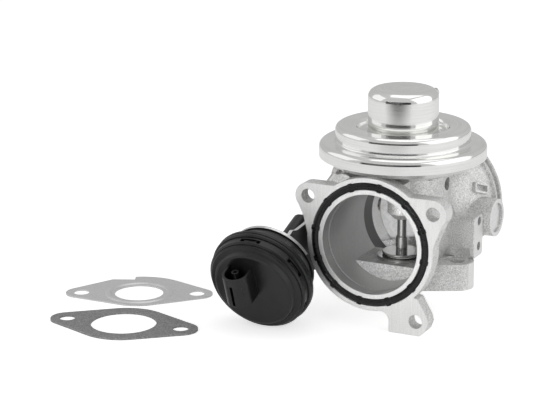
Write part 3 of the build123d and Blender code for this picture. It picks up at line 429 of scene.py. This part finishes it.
def paint_nodes():
    """A procedural material for every CAD node."""
    stem = (0, STEM_Y, 0)
    pressed = {"rings": 1500.0, "edge": 0}
    use(cast_paint(), "body")
    bright = turned_steel("pressed_bright_steel", stem, 0.88, 0.11, relief=0.05, **pressed)
    use(bright, "can_upper")
    # Painted shade: the lower shell is a darker copy of the pressed steel.
    shell = turned_steel("pressed_steel_painted_shade", stem, 0.70, 0.2, relief=0.08, **pressed)
    use(shell, "can_lower")
    use(turned_steel("ground_stem_steel", stem, 0.66, 0.15, streak=0.03), "poppet_valve")
    use(turned_steel("turned_seat_steel", stem, 0.72, 0.15, streak=0.05), "seat_ring")
    use(turned_steel("sintered_bush", stem, 0.5, 0.35), "stem_bush")
    use(plain_metal("shaft_bronze", 0.5, 0.35, warm=0.12), "shaft_bushes", "rod_bush")
    use(plain_metal("satin_flap_sheet", 0.95, 0.5, grain=500.0, metallic=0.0), "throttle_flap")
    use(plain_metal("ground_shaft_steel", 0.55, 0.25), "throttle_shaft")
    use(plain_metal("zinc_plate", 0.66, 0.32, warm=0.01), "can_screws", "diaphragm_plates",
        "stem_nut", "can_nipple", "flap_screws", "lever_washer", "throttle_lever", "lever_nut",
        "capsule_screws", "pull_rod", "bracket_bolts")
    use(plain_metal("spring_wire", 0.35, 0.3), "can_spring", "capsule_spring")
    use(plain_metal("plug_steel", 0.85, 0.34), "shaft_plug")
    gasket = plain_metal("embossed_gasket_steel", 0.74, 0.36, grain=1200.0, metallic=0.6,
                         relief=0.05)
    use(gasket, "steel_gasket")
    use(RUBBER, "manifold_seal", "stem_seal", "can_diaphragm", "shaft_seal", "capsule_diaphragm")
    use(plastic_paint(), "capsule_cover", "clamp_ring", "capsule_housing", "capsule_piston")
    use(bracket_paint(), "bracket")
    use(fibre_paint(), "fibre_gasket")


def camera():
    """The photograph's camera."""
    data = bpy.data.cameras.new("camera")
    data.lens = LENS_MM
    data.sensor_width = SENSOR_MM
    data.clip_start = CLIP_NEAR
    data.clip_end = CLIP_FAR
    eye = bpy.data.objects.new("camera", data)
    bpy.context.scene.collection.objects.link(eye)
    tilt = math.radians(90 + CAMERA_TILT)
    turn = Matrix.Rotation(math.radians(CAMERA_TURN), 4, "Z") @ Matrix.Rotation(tilt, 4, "X")
    turn = turn @ Matrix.Rotation(math.radians(CAMERA_ROLL), 4, "Z")
    eye.matrix_world = Matrix.Translation(Vector(CAMERA_PLACE) * MM) @ turn
    bpy.context.scene.camera = eye


def hang(name, data, place, aim):
    """Hang a light at place, pointing at aim, both in metres."""
    light = bpy.data.objects.new(name, data)
    bpy.context.scene.collection.objects.link(light)
    light.location = place
    light.rotation_mode = "QUATERNION"
    light.rotation_quaternion = (Vector(aim) - Vector(place)).to_track_quat("-Z", "Y")


def lamp(name, place, size, power):
    """Soft rectangular lamp on the object."""
    data = bpy.data.lights.new(name, "AREA")
    data.shape = "RECTANGLE"
    data.size, data.size_y = size
    data.energy = power
    hang(name, data, place, LAMP_AIM)


def bore_lamp(place, power):
    """Narrow lamp that reaches the flap down the bore."""
    data = bpy.data.lights.new("bore", "SPOT")
    data.energy = power
    data.spot_size = math.radians(BORE_LAMP_ANGLE)
    data.spot_blend = BORE_LAMP_BLEND
    data.shadow_soft_size = BORE_LAMP_RADIUS
    hang("bore", data, place, BORE_AIM)


def sheet_object(name, corners, material):
    """Flat stage panel through four corners, in metres."""
    mesh = bpy.data.meshes.new(name)
    mesh.from_pydata(corners, [], [(0, 1, 2, 3)])
    mesh.materials.append(material)
    panel = bpy.data.objects.new(name, mesh)
    bpy.context.scene.collection.objects.link(panel)
    return panel


def floor_light(p):
    """Light that the floor shows to the camera, and less of it in mirror-like surfaces."""
    rays = p.add("ShaderNodeLightPath").outputs
    mirrored = p.math("MULTIPLY", rays["Is Glossy Ray"], MIRROR_LIFT)
    return p.math("ADD", p.math("MULTIPLY", rays["Is Camera Ray"], FLOOR_LIFT), mirrored)


def floor():
    """White floor that shows as white and keeps the shadow."""
    p = Paint("floor_white", roughness=0.9)
    p.shader.inputs["Specular IOR Level"].default_value = 0.0
    p.finish(p.mix(p.noise(2.0), grey(0.90), grey(0.94)))
    p.plug(p.shader.inputs["Emission Strength"], floor_light(p))
    p.shader.inputs["Emission Color"].default_value = (1, 1, 1, 1)
    level = FLOOR_Z * MM
    half = FLOOR_HALF
    corners = [(-half, -half, level), (half, -half, level),
               (half, half, level), (-half, half, level)]
    sheet_object("floor", corners, p.material)


def glossy_only(panel):
    """Hide a stage panel from everything but mirror-like reflections."""
    panel.visible_camera = False
    panel.visible_shadow = False
    panel.visible_diffuse = False


def dark_card():
    """Dark card in front of the object and the shade at its foot, seen only in bright metal."""
    turn = math.radians(CAMERA_TURN - CARD_TURN)
    towards = Vector((math.sin(turn), -math.cos(turn), 0))
    across = Vector((math.cos(turn), math.sin(turn), 0)) * CARD_WIDTH / 2
    stem_foot = Vector((0, STEM_Y * MM, FLOOR_Z * MM))
    foot = towards * CARD_DISTANCE + stem_foot
    top = Vector((0, 0, CARD_HEIGHT))
    black = Paint("card_black", roughness=1.0)
    black.finish(black.mix(black.noise(3.0), grey(0.03), grey(0.05)))
    corners = [foot - across, foot + across, foot + across + top, foot - across + top]
    glossy_only(sheet_object("dark_card", corners, black.material))
    shade = Paint("card_shade", roughness=1.0)
    along = shade.add("ShaderNodeVectorMath", {"operation": "DOT_PRODUCT"})
    shade.plug(along.inputs[0], shade.place)
    along.inputs[1].default_value = towards
    near = towards.dot(stem_foot) + SHADE_START
    far = towards.dot(stem_foot) + CARD_DISTANCE
    fall = shade.ramp(along.outputs["Value"], near, far, SHADE_NEAR, SHADE_FAR)
    shade.plug(shade.shader.inputs["Emission Strength"], shade.math("MULTIPLY", fall, MIRROR_LIFT))
    shade.shader.inputs["Emission Color"].default_value = (1, 1, 1, 1)
    tone = shade.add("ShaderNodeCombineColor", Red=fall, Green=fall, Blue=fall)
    shade.finish(tone.outputs["Color"])
    start = towards * SHADE_START + stem_foot
    lift = Vector((0, 0, SHADE_ABOVE))
    corners = [start - across + lift, start + across + lift,
               foot + across + lift, foot - across + lift]
    glossy_only(sheet_object("card_shade", corners, shade.material))


def world():
    """Surroundings: white to the camera, greyer behind the object, dimmer on matt surfaces."""
    sky = bpy.data.worlds.new("studio")
    bpy.context.scene.world = sky
    sky.use_nodes = True
    tree = sky.node_tree
    tree.nodes.clear()
    link = tree.links.new
    place = tree.nodes.new("ShaderNodeTexCoord")
    turn = math.radians(CAMERA_TURN)
    away = tree.nodes.new("ShaderNodeVectorMath")
    away.operation = "DOT_PRODUCT"
    link(place.outputs["Generated"], away.inputs[0])
    away.inputs[1].default_value = (-math.sin(turn), math.cos(turn), 0)
    behind = tree.nodes.new("ShaderNodeMapRange")
    fade = {"From Min": 0.35, "From Max": 0.9, "To Min": SIDE_LEVEL, "To Max": BACK_LEVEL}
    for key, value in fade.items():
        behind.inputs[key].default_value = value
    link(away.outputs["Value"], behind.inputs["Value"])
    around = tree.nodes.new("ShaderNodeBackground")
    link(behind.outputs["Result"], around.inputs["Color"])
    seen = tree.nodes.new("ShaderNodeBackground")
    seen.inputs["Color"].default_value = (1, 1, 1, 1)
    rays = tree.nodes.new("ShaderNodeLightPath")
    soft = tree.nodes.new("ShaderNodeMapRange")
    soft.inputs["To Min"].default_value = SOFT_LEVEL
    soft.inputs["To Max"].default_value = 1.0
    link(rays.outputs["Is Glossy Ray"], soft.inputs["Value"])
    link(soft.outputs["Result"], around.inputs["Strength"])
    pick = tree.nodes.new("ShaderNodeMixShader")
    link(rays.outputs["Is Camera Ray"], pick.inputs["Fac"])
    link(around.outputs[0], pick.inputs[1])
    link(seen.outputs[0], pick.inputs[2])
    link(pick.outputs[0], tree.nodes.new("ShaderNodeOutputWorld").inputs["Surface"])


def smooth_cad():
    """Smooth shading on curved CAD faces, sharp at their edges."""
    for node in nodes.values():
        for face in node.data.polygons:
            face.use_smooth = True
        node.data.set_sharp_from_angle(angle=math.radians(SMOOTH_ANGLE))


bpy.context.scene.view_settings.view_transform = "Standard"
camera()
smooth_cad()
paint_nodes()
seal_nubs()
coil_spring("can_spring")
coil_spring("capsule_spring")
floor()
world()
dark_card()
lamp("key_right", (0.9, 0.15, 0.5), (1.3, 1.2), 3.4)
lamp("fill_left", (-0.9, -0.2, 0.5), (0.9, 0.8), 1.0)
lamp("front", (-0.10, -1.30, 0.20), (1.1, 0.5), 5.6)
lamp("top", (0.0, 0.2, 1.1), (0.9, 0.9), 1.6)
bore_lamp((0.06, -0.86, 0.09), 16.0)
